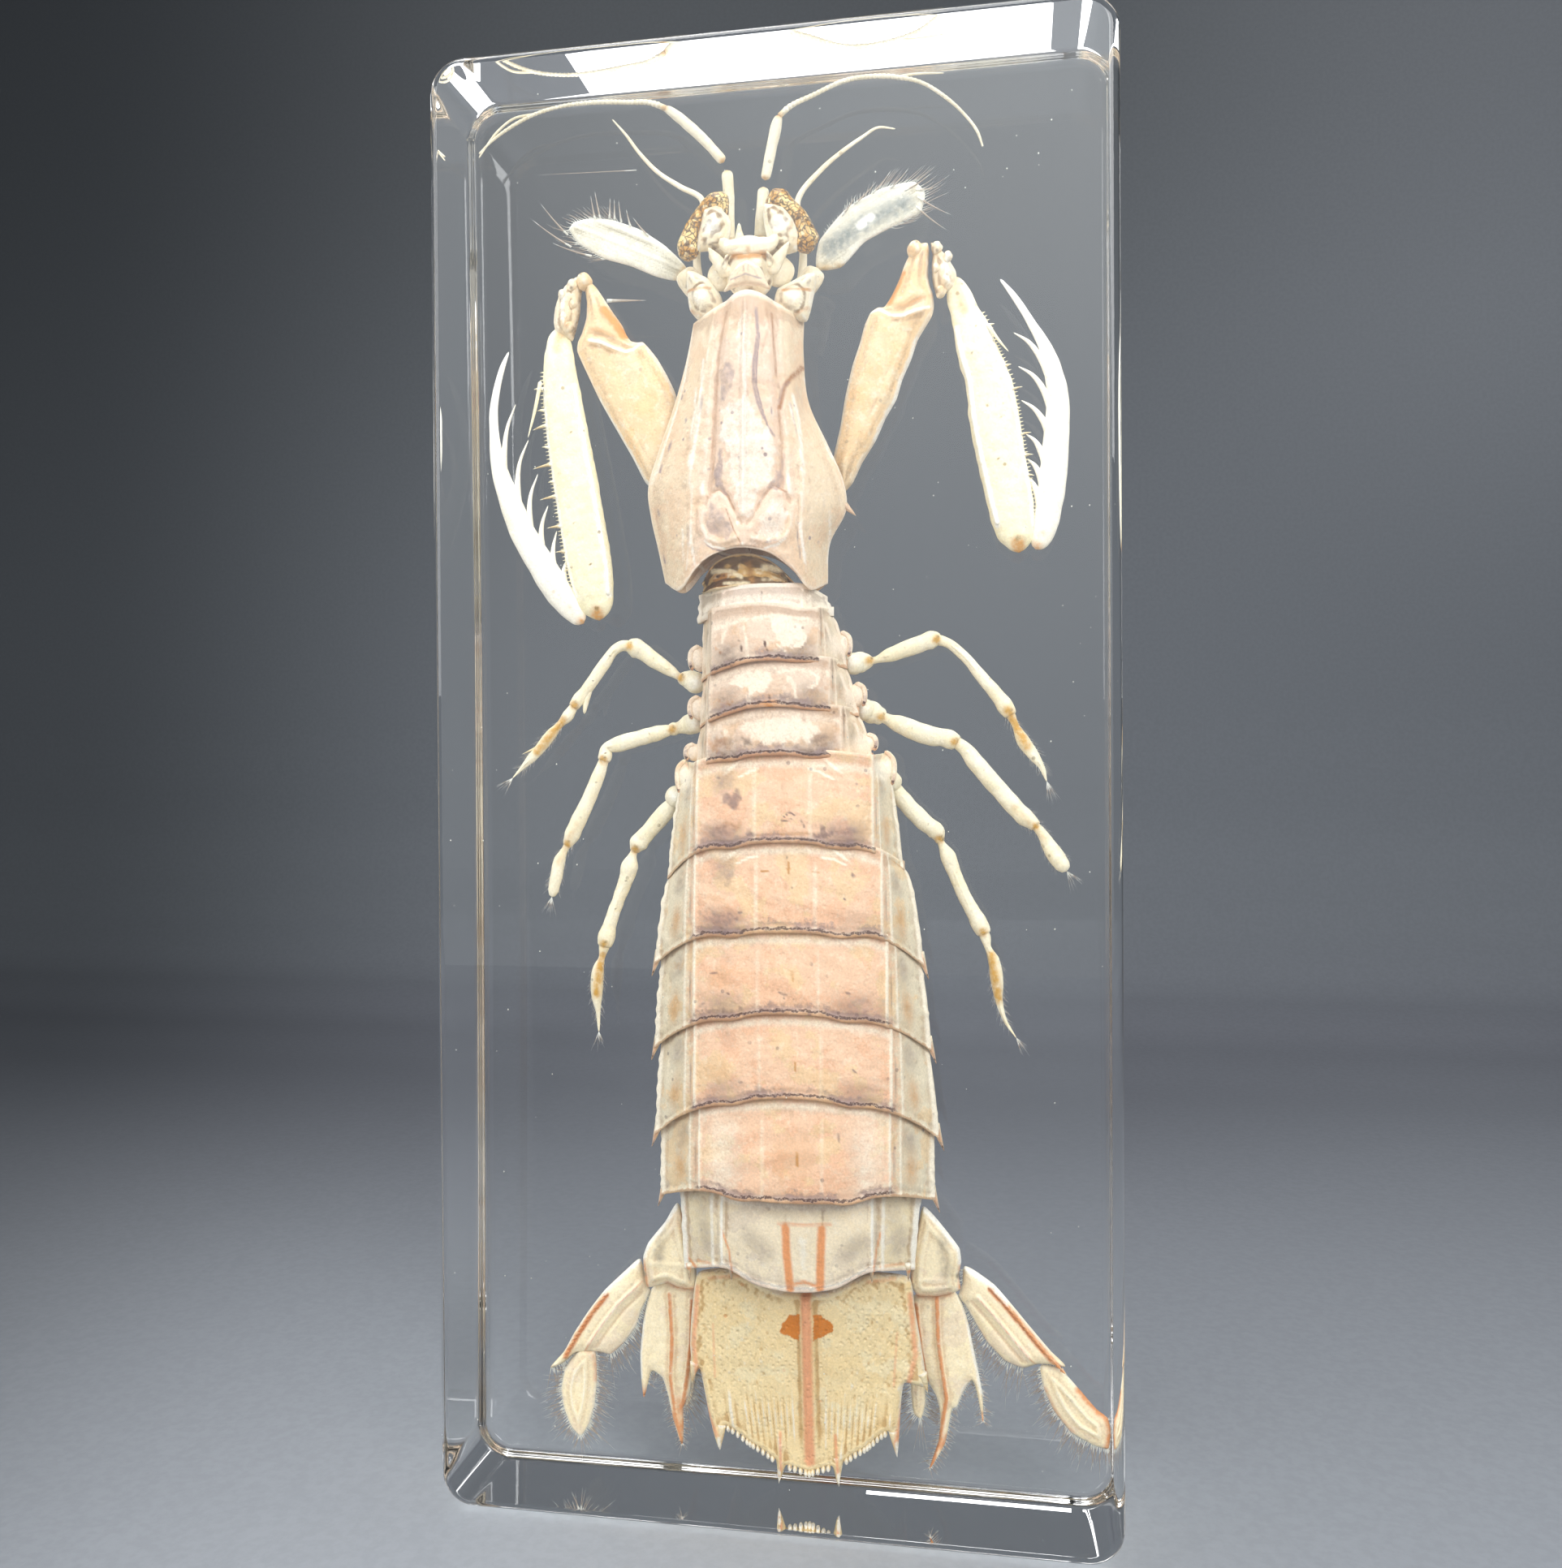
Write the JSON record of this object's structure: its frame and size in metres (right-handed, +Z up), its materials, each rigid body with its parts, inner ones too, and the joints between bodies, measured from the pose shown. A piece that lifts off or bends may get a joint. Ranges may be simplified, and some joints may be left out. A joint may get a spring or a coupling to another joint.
{
  "type": "mantis shrimp in resin block",
  "caption": "Upright block of clear cast resin with a dried mantis shrimp spread flat inside, its back to the front face and its head up.",
  "frame": {"origin": "middle of the base face on which the block stands", "axes": "+Z up along the block's height and the animal's body towards its head, +X along the block's width towards the viewer's right, +Y through the block's depth from the front face to the back face"},
  "size_m": [0.074, 0.022, 0.16],
  "materials": {
    "resin": "polished, clear",
    "eye": "satin, mottled golden brown",
    "claw_arm": "satin, bleached peach",
    "claw": "satin, ivory",
    "leg": "dull, cream with ochre ends",
    "feeler": "dull, cream",
    "head": "dull, cream",
    "carapace": "satin, pale pink cream",
    "neck": "dull, ochre brown",
    "thorax": "dull, grey beige",
    "abdomen": "satin, peach pink",
    "tail": "dull, grey cream with orange ridges"
  },
  "bodies": {
    "root": {"abdominal_somite_1": "abdomen", "abdominal_somite_2": "abdomen", "abdominal_somite_3": "abdomen", "abdominal_somite_4": "abdomen", "abdominal_somite_5": "abdomen", "abdominal_somite_6": "abdomen", "antenna_left": "feeler", "antenna_right": "feeler", "antennal_scale_left": "feeler", "antennal_scale_right": "feeler", "antennule_left": "feeler", "antennule_right": "feeler", "block_back": "resin", "block_front": "resin", "carapace": "carapace", "claw_carpus_left": "claw", "claw_carpus_right": "claw", "claw_dactyl_left": "claw", "claw_dactyl_right": "claw", "claw_merus_left": "claw_arm", "claw_merus_right": "claw_arm", "claw_propodus_left": "claw", "claw_propodus_right": "claw", "eye_left": "eye", "eye_right": "eye", "head": "head", "leg_1_left": "leg", "leg_1_right": "leg", "leg_2_left": "leg", "leg_2_right": "leg", "leg_3_left": "leg", "leg_3_right": "leg", "mouthparts": "head", "rostrum": "carapace", "telson": "tail", "thoracic_somite_5": "thorax", "thoracic_somite_6": "thorax", "thoracic_somite_7": "thorax", "thoracic_somite_8": "thorax", "thorax_neck": "neck", "uropod_base_left": "tail", "uropod_base_right": "tail", "uropod_inner_left": "tail", "uropod_inner_right": "tail", "uropod_paddle_left": "tail", "uropod_paddle_right": "tail", "uropod_paddle_tip_left": "tail", "uropod_paddle_tip_right": "tail"}
  },
  "joints": []
}
